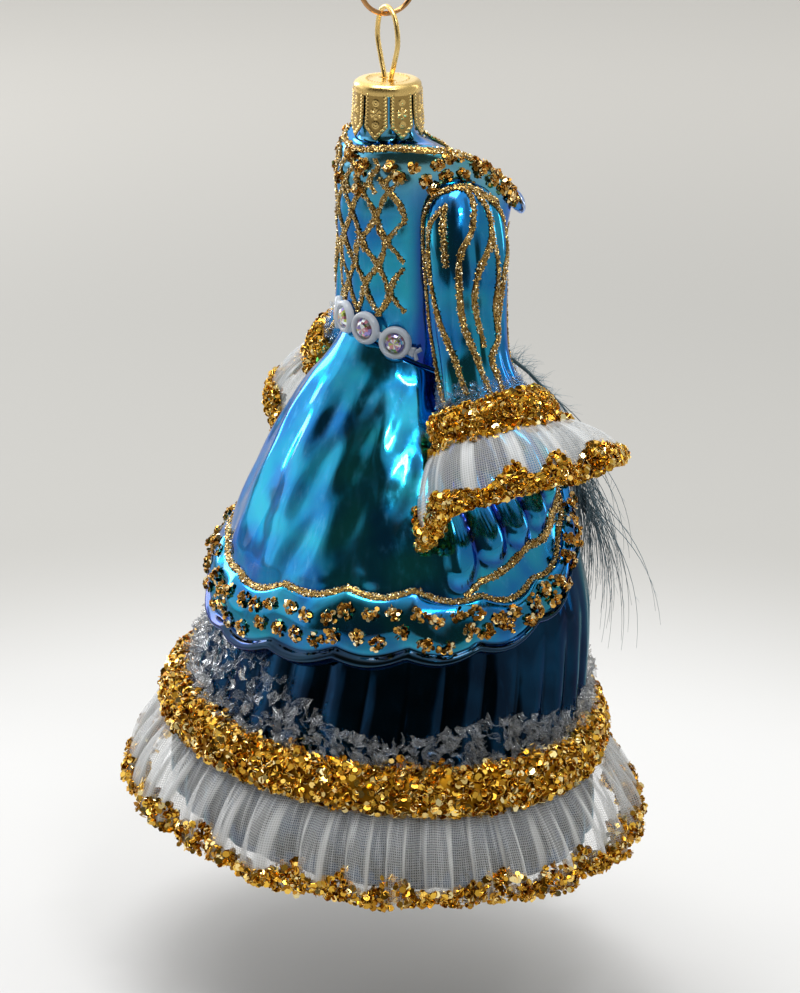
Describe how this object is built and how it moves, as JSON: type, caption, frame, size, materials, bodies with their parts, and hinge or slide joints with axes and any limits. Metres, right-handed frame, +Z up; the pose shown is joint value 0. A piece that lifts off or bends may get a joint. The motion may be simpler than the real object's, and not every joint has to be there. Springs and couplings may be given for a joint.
{
  "type": "glass ornament shaped as a royal court robe",
  "caption": "Hanging blown-glass ornament shaped as an empty court robe: bodice, frilled elbow sleeves, swagged overskirt, fluted petticoat, gathered hem frill, crown cap and ring.",
  "frame": {"origin": "the inside of the hanging ring's top, where a hook carries the ornament", "axes": "+Z up, the robe's front faces -Y, the wearer's left is +X"},
  "size_m": [0.116, 0.0995, 0.1569],
  "materials": {
    "lacquered_glass": "silvered inside, clear blue lacquer outside",
    "navy_glass": "silvered inside, dark blue lacquer outside",
    "organza": "sheer, gathered",
    "glitter": "coarse gold flakes in glue",
    "cap_metal": "stamped and plated",
    "ring_metal": "polished wire",
    "frosted_plastic": "frosted, translucent",
    "stone_glass": "faceted, foiled back",
    "feather": "dyed feather barbs"
  },
  "bodies": {
    "root": {"ring": "ring_metal", "loop": "cap_metal", "cap": "cap_metal", "bodice": "lacquered_glass", "overskirt": "lacquered_glass", "petticoat": "navy_glass", "sleeve_right": "lacquered_glass", "sleeve_left": "lacquered_glass", "cuff_band_right": "glitter", "cuff_band_left": "glitter", "cuff_frill_right": "organza", "cuff_frill_left": "organza", "hem_band": "glitter", "hem_frill": "organza", "belt": "frosted_plastic", "belt_stone_1": "stone_glass", "belt_stone_2": "stone_glass", "belt_stone_3": "stone_glass", "belt_stone_4": "stone_glass", "belt_stone_5": "stone_glass", "neckline_bow": "lacquered_glass", "plume": "feather"}
  },
  "joints": []
}
